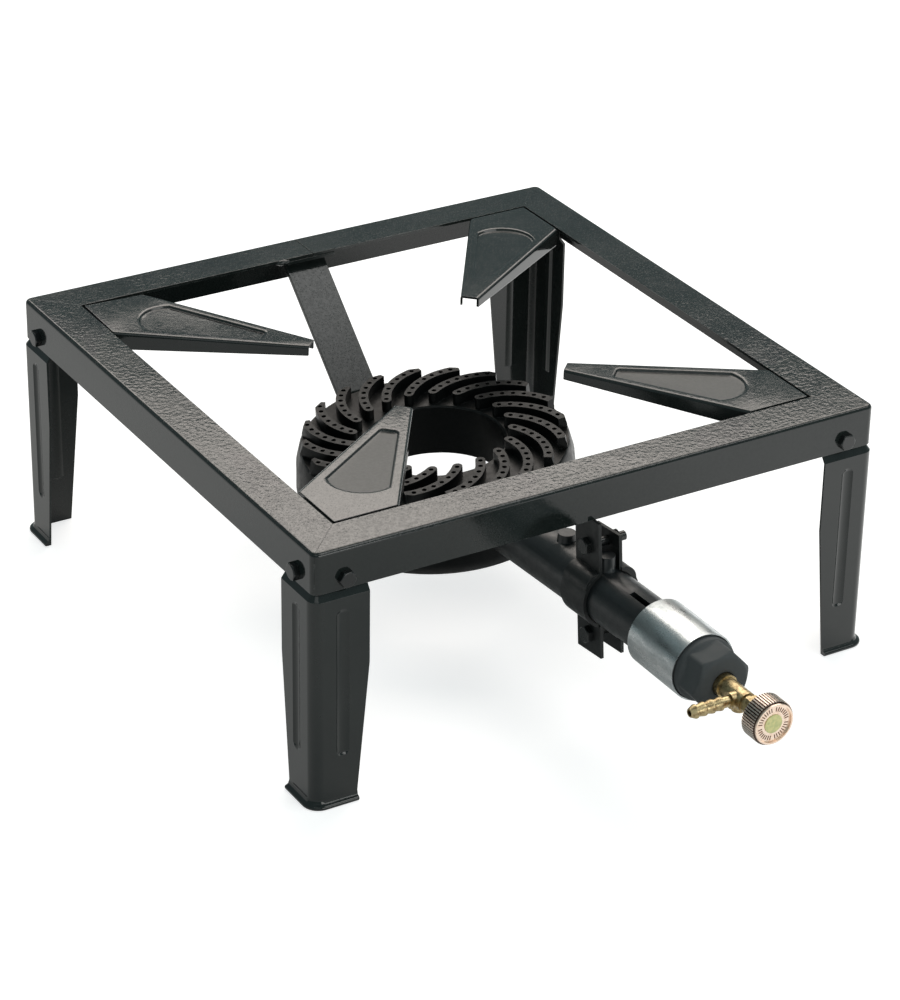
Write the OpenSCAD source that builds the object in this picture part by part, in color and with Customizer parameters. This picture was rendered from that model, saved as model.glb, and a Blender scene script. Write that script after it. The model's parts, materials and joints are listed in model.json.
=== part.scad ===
// Cast iron gas burner on a low square stand, for large pots and pans.
// Millimetres, +Z up, the gas tube points along -Y, the floor is Z = 0.
// The origin is under the middle of the whole object's box.
// Inside the modules the burner's own axis is X = 0, Y = 0.

/* [Stand] */
// Outside width of the square top frame
stand_w = 400; // [380:1:440]
// Height of the pot plane above the floor
stand_h = 173; // [165:1:190]
// Width of the frame's flat top flange
flange_w = 28.4; // [26:0.2:32]
// Height of the frame's outer skirt
skirt_h = 27.3; // [26:0.1:32]
// Sheet thickness of the frame rails
rail_t = 2; // [1.6:0.1:2.4]
// Radius of the frame's upright corners
corner_r = 5; // [4:0.5:8]
// Outer radius of the bend between flange and skirt
bend_r = 2.6; // [2.5:0.1:3.6]
// Width of the weld seam in the middle of the rear rail
seam_gap = 0.5; // [0.3:0.1:1]
// Place of the rear seam, right of the middle
seam_x = 2.5; // [0:0.5:6]
// Width of the splice plate welded under the rear seam
splice_w = 36; // [34:1:50]
// Thickness of the splice plate
splice_t = 2.5; // [2:0.1:3]

/* [Legs] */
// Sheet thickness of the pressed legs
leg_t = 1.5; // [1.2:0.1:2]
// Width of each side of a leg at its top
leg_w = 38.3; // [36:0.1:44]
// Width of each side of a leg at the floor
leg_foot_w = 29.5; // [26:0.5:34]
// Height at which the sides start to taper
leg_taper_z = 93; // [70:1:110]
// Height of the step that carries the skirt
leg_step_h = 4.7; // [3:0.1:6]
// Gap between the top of a leg and the flange above it
leg_top_gap = 2.5; // [1:0.5:5]
// Radius of a leg's outer corner
leg_corner_r = 7.5; // [6.5:0.1:8.5]
// Width of the pressed groove in each side
groove_w = 9; // [7:0.5:10]
// Depth of the pressed groove
groove_d = 1.5; // [1:0.1:2]
// Distance of the groove from the corner face
groove_at = 20.3; // [18:0.1:23]
// Height of the groove's lower end
groove_low = 32; // [26:1:50]
// Distance from the top of the leg's side to the groove's upper end
groove_top_gap = 7; // [5:1:20]
// Reach of the foot lip past the leg's face
lip_out = 3.5; // [2.5:0.5:5]
// Height of the foot lip
lip_h = 3; // [2:0.5:5]

/* [Pot supports] */
// Sheet thickness of the pot supports
support_t = 1.5; // [1.2:0.1:2]
// Distance from the burner's axis to a support's tip
support_tip = 84.5; // [75:0.5:95]
// Width of a support at its tip
support_tip_w = 12.6; // [11:0.2:18]
// Length of each root edge along the frame
support_root = 44; // [38:1:52]
// Gap between a support's root edge and the flange
support_gap = 2; // [1:0.1:3]
// Depth of the side flanges at the tip
support_tip_h = 6.5; // [5:0.1:9]
// Depth of the side flanges at the root
support_root_h = 12; // [9:0.5:15]
// Radius of the bend along each side
support_bend_r = 2; // [1.8:0.1:2.6]
// Width of the welding tab under the flange
support_tab = 13; // [8:0.5:15]
// Depth of the pressed panel
panel_d = 1.8; // [1.4:0.1:2.4]
// Run of the panel's sides, measured along the top
panel_run = 3.2; // [2:0.1:3.4]
// Distance of the panel's narrow end from the tip
panel_from_tip = 31; // [24:1:44]
// Width of the plain border beside the panel
panel_border = 5.6; // [4:0.1:8]
// Distance of the panel's wide end from the root corner
panel_from_root = 37; // [32:1:48]
// Droop of the left support about its root corner, in degrees
left_droop = 2.3; // [0:0.1:3]

/* [Burner head] */
// Height of the free space between the pot plane and the rib tops
pot_gap = 57.6; // [48:0.2:65]
// Distance of the ribs' middle behind the stand's middle
head_back = 2; // [0:0.5:3]
// Offset of the rim's middle from the ribs' middle, to the right and to the front
rim_shift = 0.7; // [0:0.1:1.4]
// Sideways roll of the head on its tube, right side up
head_roll = 3.5; // [0:0.1:4.5]
// Radius of the burner's centre hole
hole_r = 46.3; // [42:0.1:47]
// Radius of the head at its upper rim
rim_r = 88.7; // [87.5:0.1:90]
// Largest radius of the casting, at its parting line
belt_r = 92; // [91:0.1:96]
// Wall thickness of the casting
cast_wall = 5; // [4:0.1:6]
// Number of curved ribs
rib_count = 20; // [12:1:20]
// Width of a rib
rib_w = 6.5; // [5.5:0.1:7]
// Height of a rib above the head
rib_h = 8; // [6:0.1:10]
// Rake of the ribs' outer ends
rib_rake = 2.2; // [0.5:0.1:3]
// Radius of the innermost port's centre
rib_in_r = 53.4; // [52.4:0.1:55]
// Radius of the outermost port's centre
rib_out_r = 83; // [78:0.1:83.4]
// Radius of a rib's own curve
rib_arc_r = 43.9; // [40:0.1:60]
// Lean of a rib off the radial line at its inner end
rib_lean = 30.2; // [20:0.1:33]
// Turn of the first rib's inner port from +X
rib_phase = 4.6; // [0:0.1:18]
// Ports along each rib
port_count = 7; // [4:1:7]
// Diameter of a port
port_d = 3.2; // [1.8:0.1:3.2]

/* [Gas tube] */
// Reach of the tube's mouth past the front of the frame
tube_out = 100; // [95:1:120]
// Tube radius where it leaves the head
tube_root_r = 19; // [18.6:0.1:20]
// Tube radius near its mouth
tube_r = 17.2; // [16.8:0.1:18]
// Bore radius of the tube
tube_bore_r = 13; // [11:0.1:13.6]
// Depth of the mouth's axis below the rib tops
mouth_drop = 18.2; // [16:0.1:21]
// Rise of the tube from the head to the mouth
tube_rise = 8.7; // [5:0.1:11]
// Length of the collar that guides the air shutter
collar_len = 32; // [28:1:38]
// Radius of that collar
collar_r = 20.85; // [20.4:0.05:21.4]
// Width of the air slots
slot_w = 3.6; // [2:0.1:4]
// Distance from the mouth to the start of the air slots
slot_from = 15; // [15:1:20]
// Distance from the mouth to the end of the air slots
slot_to = 62; // [50:1:62]
// Angle of the first air slot around the tube
slot_turn = 104; // [90:1:120]

/* [Air shutter] */
// Length of the sliding sleeve
sleeve_len = 47; // [46:1:50]
// Wall thickness of the sleeve
sleeve_t = 1; // [0.8:0.1:1.5]
// Reach of the sleeve past the tube's mouth, half open
sleeve_out = 8.5; // [6:0.5:10]
// Running clearance of the sleeve on its collar
sleeve_fit = 0.05; // [0.02:0.01:0.1]

/* [Nozzle cap] */
// Length of the cap's round collar
cap_collar_len = 15; // [12:1:18]
// Length of the cap's hexagonal nose
cap_nose_len = 15; // [9:1:16]
// Width of the nose across its flats
cap_af = 35.4; // [30:0.2:35.4]
// Turn of the nose's first corner from +X
cap_turn = 12; // [0:1:59]
// Depth of the cap's spigot in the mouth
cap_spigot = 12; // [8:0.5:13]
// Radius of the valve's thread in the cap
cap_thread_r = 6; // [5:0.1:6.5]

/* [Valve] */
// Length of the valve body in front of the cap
valve_len = 27; // [24:0.5:32]
// Radius of the valve barrel
valve_r = 6.3; // [6:0.1:7.5]
// Distance from the cap's face to the hose barb's axis
barb_at = 17; // [15:0.5:19]
// Reach of the hose barb from the valve's axis
barb_reach = 35.5; // [31:0.5:45]
// Radius of the barb's plain stem
barb_r = 3.4; // [3:0.1:4]
// Radius of the barb's ridges
barb_ridge_r = 4.3; // [4.1:0.1:5]
// Number of ridges
barb_ridges = 3; // [2:1:4]
// Bore radius of the barb
barb_bore_r = 1.9; // [1.5:0.1:2.2]
// Length of the gland nut
gland_len = 7; // [6:0.5:10]
// Radius of the spindle
spindle_r = 2; // [1.6:0.1:2.4]
// Running clearance around the spindle
spindle_fit = 0.05; // [0.02:0.01:0.1]
// Travel of the spindle from closed to open
spindle_travel = 1.5; // [1:0.1:2.5]

/* [Knob] */
// Radius of the knob
knob_r = 14.2; // [12:0.1:16]
// Length of the knob
knob_len = 14.5; // [12:0.1:18]
// Gap between the gland nut and the closed knob
knob_gap = 2.5; // [1:0.1:4]
// Number of flutes
flute_count = 52; // [30:1:60]
// Depth of a flute
flute_d = 0.6; // [0.3:0.05:0.8]
// Radius of the disc in the knob's face
disc_r = 6; // [5:0.1:7.5]

/* [Fixings] */
// Diameter of all bolts
bolt_d = 6; // [5:0.5:6]
// Width of bolt heads and nuts across their flats
bolt_af = 10; // [9:0.5:11]
// Height of a bolt head
head_h = 4; // [3:0.1:5]
// Height of a nut
nut_h = 5; // [4:0.1:6]
// Clearance of each bolt in its hole
bolt_fit = 0.2; // [0.1:0.05:0.3]
// Distance of the leg bolts from the frame's corner
leg_bolt_at = 21.5; // [18:0.5:24]
// Sheet thickness of the clamp halves
clamp_t = 2.2; // [1.5:0.1:2.6]
// Width of the clamp along the tube
clamp_w = 26; // [22:1:28]
// Distance of the clamp's middle behind the frame's front face
clamp_at = 2.4; // [0:0.2:5]
// Lean of the clamp, its top to the rear
clamp_lean = 5.5; // [0:0.1:8]
// Height of the upper clamp bolt above the tube's axis
upper_bolt_at = 31.7; // [30:0.1:36]
// Depth of the lower clamp bolt below the tube's axis
lower_bolt_at = 27.5; // [26:0.1:34]
// Half the distance between the clamp's tabs
clamp_gap = 6.2; // [5.8:0.1:7]
// Clearance of the clamp on the tube
clamp_fit = 0.15; // [0.05:0.05:0.3]
// Width of the rear strap
strap_w = 30; // [24:1:34]
// Thickness of the rear strap
strap_t = 3; // [2.5:0.1:3.5]
// Gap between the strap and the head
strap_gap = 2; // [1:0.1:4]

/* [Hidden] */
$fn = 64;
eps = 0.01;
big = 2000;

paint = "#1b2320";
iron = "#202221";
brass = "#c9a25a";

// Heights of the frame and its sheet
half_w = stand_w / 2;
flange_low = stand_h - rail_t;
skirt_low = stand_h - skirt_h;
bend_n = 5;

// Legs, measured outward from the axis of their rounded corner
leg_face = half_w + leg_t;
leg_axis = leg_face - leg_corner_r;
tab_r = half_w - rail_t - leg_axis;
leg_top = flange_low - leg_top_gap;
leg_shoulder = skirt_low - leg_step_h;
groove_r = (pow(groove_w / 2, 2) + pow(groove_d, 2)) / (2 * groove_d);
groove_end = 4;
leg_bolt_z = skirt_low + 7.3;
thread_over = 2;

// Pot supports, measured along the diagonal and across it
root_s = (half_w - flange_w - support_gap) * sqrt(2);
root_t = support_root / sqrt(2);
side_slope = (root_t - support_tip_w / 2) / (root_s - root_t - support_tip);
side_len = sqrt(1 + side_slope * side_slope);
panel_floor_r = 3;
panel_bow = 13;
panel_bow_draw = 1.5;
// Soft upper edge, steep wall and soft foot of a panel's side: draw-in and depth at the top and at the
// bottom of each, as shares of the side's run and of the panel's depth
panel_cuts = [[0, 0, 0.38, 0.14], [0.28, 0, 0.58, 0.86], [0.64, 0.83, 1, 1]];
panel_skin = 0.8 * support_t;

// Heights of the burner
rib_top = stand_h - pot_gap;
head_z = rib_top - rib_h;
belt_z = head_z - 28;
hole_low = head_z - 35.4;
base_z = head_z - 53.4;
rib_root = 4.5;
ring_r = max(rim_r, belt_r);
lug_y = ring_r - 20;
lug_r = 8;
lug_low = base_z - 2;

// Curve of a rib: its centre, and the angles of its first and last port
rib_head = -rib_lean;
rib_c = [rib_in_r + rib_arc_r * cos(rib_head - 90), rib_arc_r * sin(rib_head - 90)];
rib_c_len = norm(rib_c);
rib_from = rib_head + 90;
rib_to = atan2(rib_c[1], rib_c[0])
    + acos((pow(rib_out_r, 2) - pow(rib_c_len, 2) - pow(rib_arc_r, 2)) / (2 * rib_c_len * rib_arc_r));
rib_mm = 180 / (PI * rib_arc_r);
rib_lead = 1.3;
rib_tail = 6;
rib_steps = 12;
port_wall = 2.6;

// Tube: straight and pitched from the head, level at its mouth
mouth = half_w + tube_out;
mouth_z = rib_top - mouth_drop;
flare_len = 5;
level_from = mouth - collar_len - flare_len;
tube_start = 62;
tube_end_r = rim_r - 14;
tube_pitch = atan(tube_rise / (level_from - tube_start));
tube_len = (level_from - tube_start) / cos(tube_pitch);
bore_step = 0.4;
flare_step = 0.35;
socket_r = tube_bore_r + 3.4;
socket_len = cap_spigot + 2;
slots = 3;
boss_r = 5.2;
boss_foot_r = clamp_gap - 0.3;
boss_foot = 14;
boss_toe = 3.5;
front_boss_h = 27;
front_boss = half_w + 4;
rear_boss = half_w - 41;

// Rear strap: its flat top, the slant below it and its end past the lug's middle
strap_top_len = 17;
strap_slant = 9;
strap_end = 11;
lug_bolt_len = 11;

// Clamp, its heights measured from the tube's axis
clamp_mid = half_w - clamp_at;
clamp_back = clamp_mid - clamp_w / 2;
clamp_in = tube_at_r(clamp_back) + clamp_fit;
clamp_out = clamp_in + clamp_t;
clamp_bulge = 1.9;
clamp_bulge_r = 9;
clamp_thread_over = 5;
left_tab_top = flange_low - tube_z(clamp_mid) + 4;
right_tab_top = upper_bolt_at + 7.4;
ear_low = -lower_bolt_at - 12.2;
skirt_clear = 0.3;

// Front end, as distances from the burner's axis
cap_front = mouth + cap_collar_len + cap_nose_len;
valve_front = cap_front + valve_len;
gland_front = valve_front + gland_len;
knob_back = gland_front + knob_gap;
knob_front = knob_back + knob_len;
barb_y = cap_front + barb_at;
valve_flange_r = valve_r + 1;
barb_root = valve_r + 1.5;
barb_thread_r = barb_r - 0.4;
barb_tip_len = 4.5;
ridge_land = 1;
barb_pitch = (barb_reach - barb_tip_len - barb_root - 6) / barb_ridges;
jet_r = 4;
jet_len = 14;
seat_r = 1.3;
seat_y = barb_y - barb_r;
chamber_r = 3.2;
seal_w = 2.4;
screw_r = 1.4;
screw_len = 7;
face_d = 1.2;

// Y of the burner's axis in the part's own frame
rear_reach = leg_face + lip_out;
front_reach = knob_front;
axis_y = (front_reach - rear_reach) / 2;

// Points of an arc, from angle a0 to angle a1 in n steps
function arc(c, r, a0, a1, n) =
    [for (i = [0:n]) [c[0] + r * cos(a0 + (a1 - a0) * i / n), c[1] + r * sin(a0 + (a1 - a0) * i / n)]];

// Height of the tube's axis and its radius, at a distance in front of the burner's axis
function tube_z(d) = mouth_z - max(0, level_from - d) * tan(tube_pitch);
function tube_at_r(d) = tube_r + (tube_root_r - tube_r) * max(0, level_from - d) / (level_from - tube_start);

// A path with round corners of radius r
function unit(v) = v / norm(v);
function turn_at(a, b, c) =
    let (u = unit(b - a), v = unit(c - b)) atan2(u[0] * v[1] - u[1] * v[0], u * v);
function round_corner(a, b, c, r, n) =
    let (
        turn = turn_at(a, b, c),
        u = unit(b - a),
        cut = r * tan(abs(turn) / 2),
        side = sign(turn),
        centre = b - u * cut + side * r * [-u[1], u[0]],
        from = atan2(-side * u[0], side * u[1])
    )
    arc(centre, r, from, from + turn, n);
function round_path(p, r, n) = concat(
    [p[0]],
    [for (i = [1:len(p) - 2]) each round_corner(p[i - 1], p[i], p[i + 1], r, n)],
    [p[len(p) - 1]]);

// The same path moved sideways by t, for the other face of a bent sheet
function normal_at(p, i) =
    let (
        u = i > 0 ? unit(p[i] - p[i - 1]) : unit(p[1] - p[0]),
        v = i < len(p) - 1 ? unit(p[i + 1] - p[i]) : u,
        m = unit(u + v)
    )
    [-m[1], m[0]] / (m * v);
function side_path(p, t) = [for (i = [0:len(p) - 1]) p[i] + t * normal_at(p, i)];

// Puts a module that is drawn about the burner's axis into the part's frame
module placed(c) {
    color(c) translate([0, axis_y, 0]) children();
}

// Turns local +Z towards the front, along the tube's mouth, from a distance d
module forward(d) {
    translate([0, -d, mouth_z]) rotate([90, 0, 0]) children();
}

// The same along the pitched part of the tube
module along_tube(d) {
    translate([0, -d, tube_z(d)]) rotate([90 - tube_pitch, 0, 0]) children();
}

// Hexagonal prism, width across flats af
module hex(af, h) {
    cylinder(d = af / cos(30), h = h, $fn = 6);
}

// Hexagonal bolt head with a bevelled rim, standing on Z = 0
module hex_head(h) {
    intersection() {
        hex(bolt_af, h);
        union() {
            cylinder(r = bolt_af * 0.58, h = h - 0.8);
            translate([0, 0, h - 0.8]) cylinder(r1 = bolt_af * 0.58, r2 = bolt_af * 0.46, h = 0.8);
        }
    }
}

// Bolt along +Z, its head below Z = 0 and its shank above
module bolt(shank) {
    rotate([180, 0, 0]) hex_head(head_h);
    translate([0, 0, -eps]) cylinder(d = bolt_d, h = shank + eps);
}

// Nut from Z = 0 upwards, round a bolt
module nut() {
    difference() {
        hex_head(nut_h);
        translate([0, 0, -1]) cylinder(d = bolt_d + 0.1, h = nut_h + 2);
    }
}

// Frame section, u measured inward from the outer face, up to u_end
function rail_section(u_end) = concat(
    [[0, skirt_low]],
    arc([bend_r, stand_h - bend_r], bend_r, 180, 90, bend_n),
    [[u_end, stand_h], [u_end, flange_low]],
    arc([bend_r, stand_h - bend_r], bend_r - rail_t, 90, 180, bend_n),
    [[rail_t, skirt_low]]);

// Corner slice of a rail, from 0 to 45 degrees about the upright corner axis
module rail_corner() {
    rotate_extrude(angle = 45) polygon([for (p = rail_section(corner_r)) [corner_r - p[0], p[1]]]);
}

// Rail along X at the front of the stand, mitred at both ends, drilled for the leg bolts
module front_rail() {
    straight = half_w - corner_r;
    difference() {
        union() {
            intersection() {
                translate([-straight, -half_w, 0]) rotate([90, 0, 90])
                    linear_extrude(2 * straight) polygon(rail_section(flange_w));
                linear_extrude(big) polygon([[-half_w, -half_w], [half_w, -half_w], [0, 0]]);
            }
            translate([straight, -straight, 0]) rotate([0, 0, -90]) rail_corner();
            translate([-straight, -straight, 0]) rotate([0, 0, -135]) rail_corner();
        }
        for (side = [-1, 1])
            translate([side * (half_w - leg_bolt_at), -half_w - 1, leg_bolt_z]) rotate([-90, 0, 0])
                cylinder(d = bolt_d + 2 * bolt_fit, h = rail_t + 2);
    }
}

module rail_front() {
    placed(paint) front_rail();
}

module rail_left() {
    placed(paint) rotate([0, 0, -90]) front_rail();
}

module rail_right() {
    placed(paint) rotate([0, 0, 90]) front_rail();
}

// Half of the rear rail, side 1 to the right of the seam and -1 to the left
module rear_half(side) {
    intersection() {
        rotate([0, 0, 180]) front_rail();
        translate([side > 0 ? seam_x + seam_gap / 2 : seam_x - seam_gap / 2 - big, 0, 0]) cube(big);
    }
}

module rail_rear_left() {
    placed(paint) rear_half(-1);
}

module rail_rear_right() {
    placed(paint) rear_half(1);
}

// Plate welded under the rear flange, across the seam
module splice_plate() {
    placed(paint)
        translate([-splice_w / 2 + 1, half_w - flange_w - 1, flange_low - splice_t])
            cube([splice_w, flange_w - rail_t, splice_t]);
}

// Upright section of a leg, r measured outward from its corner axis
leg_lip = concat(
    arc([leg_corner_r + lip_out - lip_h / 2, lip_h / 2], lip_h / 2, -90, 90, 6),
    [[leg_corner_r + 1, lip_h + 0.6], [leg_corner_r, lip_h + 3]]);
leg_section = concat(
    [[leg_corner_r - leg_t, 0]],
    leg_lip,
    [[leg_corner_r, leg_shoulder], [tab_r, skirt_low], [tab_r, leg_top], [tab_r - leg_t, leg_top],
     [tab_r - leg_t, skirt_low - 0.4], [leg_corner_r - leg_t, leg_shoulder - 0.5]]);

// Spindle-shaped tool that presses a groove of radius r
module groove_tool(r) {
    grow = r - groove_r;
    low = groove_low - grow;
    high = leg_shoulder - groove_top_gap + grow;
    lift = groove_r - groove_d;
    rotate_extrude()
        polygon([
            [0, low], [lift, low], [r, low + groove_end],
            [r, high - groove_end], [lift, high], [0, high]]);
}

// One side of a leg, for the face at -Y of a corner whose axis is at 0, 0
module leg_side() {
    reach = leg_w - leg_corner_r;
    foot = leg_foot_w - leg_corner_r;
    groove_x = -(groove_at - leg_corner_r);
    difference() {
        union() {
            intersection() {
                rotate([90, 0, -90]) linear_extrude(reach) polygon(leg_section);
                rotate([90, 0, 0]) linear_extrude(big, center = true) polygon([
                    [eps, -1], [eps, stand_h], [-reach, stand_h],
                    [-reach, leg_taper_z], [-foot, -1]]);
            }
            intersection() {
                translate([groove_x, -leg_corner_r - groove_r + groove_d, 0]) groove_tool(groove_r + leg_t);
                translate([-reach, -leg_corner_r + leg_t / 2, 0]) cube([reach, leg_corner_r, stand_h]);
            }
        }
        translate([groove_x, -leg_corner_r - groove_r + groove_d, 0]) groove_tool(groove_r);
        translate([half_w - leg_bolt_at - leg_axis, 0, leg_bolt_z]) rotate([90, 0, 0])
            cylinder(d = bolt_d + 2 * bolt_fit, h = leg_corner_r);
    }
}

// Leg under the front right corner
module front_right_leg() {
    translate([leg_axis, -leg_axis, 0]) {
        rotate([0, 0, -90]) rotate_extrude(angle = 90) polygon(leg_section);
        leg_side();
        rotate([0, 0, 90]) mirror([1, 0, 0]) leg_side();
    }
}

module leg_front_right() {
    placed(paint) front_right_leg();
}

module leg_front_left() {
    placed(paint) rotate([0, 0, -90]) front_right_leg();
}

module leg_rear_right() {
    placed(paint) rotate([0, 0, 90]) front_right_leg();
}

module leg_rear_left() {
    placed(paint) rotate([0, 0, 180]) front_right_leg();
}

// Places its children at each leg bolt, +Z pointing into the stand, from depth d inside the frame
module at_leg_bolts(d) {
    for (turn = [0:90:270], side = [-1, 1])
        rotate([0, 0, turn]) translate([side * (half_w - leg_bolt_at), -half_w + d, leg_bolt_z])
            rotate([-90, 0, 0]) children();
}

module leg_bolts() {
    placed(paint) at_leg_bolts(0) bolt(rail_t + leg_t + nut_h + thread_over);
}

module leg_nuts() {
    placed(paint) at_leg_bolts(rail_t + leg_t) nut();
}

// Outline of a support along the diagonal, its sides drawn in by i
function support_outline(i) =
    let (
        w = support_tip_w / 2 - i * side_len,
        s = (root_s - w + side_slope * support_tip) / (1 + side_slope)
    )
    [[support_tip, -w], [s, -(root_s - s)], [root_s, 0], [s, root_s - s], [support_tip, w]];

// Outline of the pressed panel, drawn in by i, and further at its wide end
function panel_outline(i) =
    let (
        from = support_tip + panel_from_tip + i,
        to = root_s - panel_from_root - panel_bow_draw * i,
        edge = support_tip_w / 2 - (panel_border + i) * side_len,
        w_from = edge + side_slope * (from - support_tip),
        shoulder = to - panel_bow,
        w_to = edge + side_slope * (shoulder - support_tip),
        bow_r = (w_to * w_to + panel_bow * panel_bow) / (2 * panel_bow),
        bow_a = asin(w_to / bow_r),
        r = panel_floor_r
    )
    concat(
        arc([from + r, w_from - r + side_slope * r], r, 180, 100, 4),
        arc([to - bow_r, 0], bow_r, bow_a, -bow_a, 10),
        arc([from + r, -w_from + r - side_slope * r], r, 260, 180, 4));

// Layer of the panel's pressed form: its outline drawn in by i at depth d, and by low_i at depth low_d
module panel_layer(i, d, low_i, low_d) {
    hull() {
        translate([0, 0, stand_h - d]) linear_extrude(eps) polygon(panel_outline(i));
        translate([0, 0, stand_h - low_d]) linear_extrude(eps) polygon(panel_outline(low_i));
    }
}

// Solid form of a support with rounded sides, for the outer face and, drawn in, for the inner one
module support_form(i, top) {
    hull() {
        for (a = [0:22.5:90])
            translate([0, 0, top - (support_bend_r - i) * (1 - sin(a))])
                linear_extrude(eps) polygon(support_outline(i + (support_bend_r - i) * (1 - cos(a))));
        translate([0, 0, top - support_root_h - 5]) linear_extrude(eps) polygon(support_outline(i));
    }
}

// Pressed pot support pointing along +X from its root corner towards the axis
module diagonal_support() {
    deep = support_root_h + 10;
    difference() {
        union() {
            difference() {
                support_form(0, stand_h);
                translate([-eps, 0, 0]) support_form(support_t, stand_h - support_t);
                rotate([90, 0, 0]) linear_extrude(big, center = true) polygon([
                    [support_tip - 2, stand_h - support_tip_h],
                    [root_s - root_t, stand_h - support_root_h],
                    [root_s + 2, stand_h - support_root_h],
                    [root_s + 2, stand_h - deep], [support_tip - 2, stand_h - deep]]);
                translate([support_tip - 2, -support_tip_w / 2 + support_t, stand_h - deep])
                    cube([4, support_tip_w - 2 * support_t, deep - support_t]);
            }
            panel_layer(-panel_skin, support_t / 2, 0.58 * panel_run - panel_skin, panel_d + support_t);
        }
        for (c = panel_cuts)
            panel_layer(c[0] * panel_run, c[1] * panel_d - eps, c[2] * panel_run, c[3] * panel_d);
    }
}

// Tab in two legs that is welded under the flange, round the support's root corner
module root_tab() {
    out = half_w - flange_w + support_tab;
    in = half_w - flange_w - support_gap - 4;
    far = out - support_root - support_tab + 4;
    translate([0, 0, flange_low - support_t]) linear_extrude(support_t)
        polygon([[far, in], [far, out], [out - 4, out], [out, out - 4], [out, far], [in, far], [in, in]]);
}

// Support in the rear right corner, its tip let down by an angle about the root corner
module rear_right_support(droop = 0) {
    rotate([0, 0, 45]) translate([root_s, 0, stand_h]) rotate([0, -droop, 0])
        translate([-root_s, 0, -stand_h]) diagonal_support();
    root_tab();
}

module support_rear_right() {
    placed(paint) rear_right_support();
}

module support_rear_left() {
    placed(paint) rotate([0, 0, 90]) rear_right_support(left_droop);
}

module support_front_left() {
    placed(paint) rotate([0, 0, 180]) rear_right_support();
}

module support_front_right() {
    placed(paint) rotate([0, 0, 270]) rear_right_support();
}

// Turns the head on the gas tube's line and sets it behind the middle
module on_head() {
    translate([0, head_back, tube_z(tube_start)]) rotate([0, -head_roll, 0])
        translate([0, 0, -tube_z(tube_start)]) children();
}

// The same for what is turned about the rim's own middle
module on_rim() {
    on_head() translate([rim_shift, -rim_shift, 0]) children();
}

// One curved rib, its inner end on +X and its outer end past the rim
module rib() {
    start = rib_from + rib_lead * rib_mm;
    end = rib_to - rib_tail * rib_mm;
    half = rib_w / 2;
    tip = rib_c + rib_arc_r * [cos(start), sin(start)];
    linear_extrude(rib_h + rib_root + 1) polygon(concat(
        arc(rib_c, rib_arc_r + half, start, end, rib_steps),
        arc(rib_c, rib_arc_r - half, end, start, rib_steps),
        arc(tip, half, start + 180, start, 6)));
}

// Ports along one rib
module ports() {
    for (i = [0:port_count - 1]) {
        a = rib_from + (rib_to - rib_from) * i / (port_count - 1);
        translate([rib_c[0] + rib_arc_r * cos(a), rib_c[1] + rib_arc_r * sin(a), 0])
            cylinder(d = port_d, h = rib_h + cast_wall + 4, $fn = 16);
    }
}

module at_ribs(z) {
    for (i = [0:rib_count - 1])
        translate([0, 0, z]) rotate([0, 0, rib_phase + i * 360 / rib_count]) children();
}

// All ribs, cut back to the rim and level on top
module ribs() {
    end = rim_r - 0.2;
    intersection() {
        on_head() at_ribs(head_z - rib_root) rib();
        on_rim() rotate_extrude($fn = 96) polygon([
            [hole_r - 1, head_z - rib_root - 1], [end, head_z - rib_root - 1],
            [end, head_z], [end - rib_rake, rib_top], [hole_r - 1, rib_top]]);
    }
}

// Ring-shaped head, widest at its parting line
module head_form() {
    rotate_extrude($fn = 96) polygon([
        [hole_r, hole_low], [hole_r, head_z - 1], [hole_r + 1, head_z],
        [rim_r - 1.2, head_z], [rim_r, head_z - 1.2], [belt_r - 0.9, head_z - 10.4],
        [belt_r, belt_z], [belt_r - 2.5, belt_z - 14], [belt_r - 7, belt_z - 22],
        [belt_r - 11, base_z], [belt_r - 15, base_z + 0.8]]);
}

// Mixture chamber inside the head
module chamber() {
    rotate_extrude($fn = 96) polygon([
        [hole_r + cast_wall, hole_low + 2], [hole_r + cast_wall, head_z - cast_wall],
        [rim_r - port_wall, head_z - cast_wall], [belt_r - cast_wall, belt_z],
        [belt_r - cast_wall - 2.5, belt_z - 12.5], [belt_r - cast_wall - 7, belt_z - 18.5]]);
}

// Outside of the gas tube with its two cast bosses and the shutter's collar
module tube_form() {
    along_tube(tube_start) cylinder(r1 = tube_root_r, r2 = tube_r, h = tube_len + 0.5);
    forward(level_from - 1) cylinder(r1 = tube_r + flare_step, r2 = collar_r, h = flare_len + 1);
    forward(mouth - collar_len) cylinder(r = collar_r, h = collar_len);
    translate([0, -front_boss, tube_z(front_boss) + boss_foot]) {
        cylinder(r1 = boss_foot_r, r2 = boss_r, h = front_boss_h - boss_foot);
        translate([0, -boss_toe, 0]) cylinder(r1 = boss_foot_r, r2 = 0.8, h = 8);
    }
    translate([0, -rear_boss, tube_z(rear_boss)]) cylinder(r1 = boss_r + 2.4, r2 = boss_r + 0.4, h = 23);
}

// Bore, mouth socket and air slots of the tube
module tube_bore() {
    along_tube(tube_start - 2) cylinder(r = tube_bore_r, h = tube_len + 4);
    forward(level_from - 1) cylinder(r = tube_bore_r + bore_step, h = collar_len + flare_len - 2);
    forward(mouth - socket_len - 6) cylinder(r1 = tube_bore_r, r2 = socket_r, h = 6);
    forward(mouth - socket_len) cylinder(r = socket_r, h = socket_len + 1);
    for (i = [0:slots - 1])
        forward(mouth - slot_to) rotate([0, 0, slot_turn + i * 360 / slots])
            translate([tube_bore_r - 3, -slot_w / 2, 0]) cube([collar_r, slot_w, slot_to - slot_from]);
}

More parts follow.
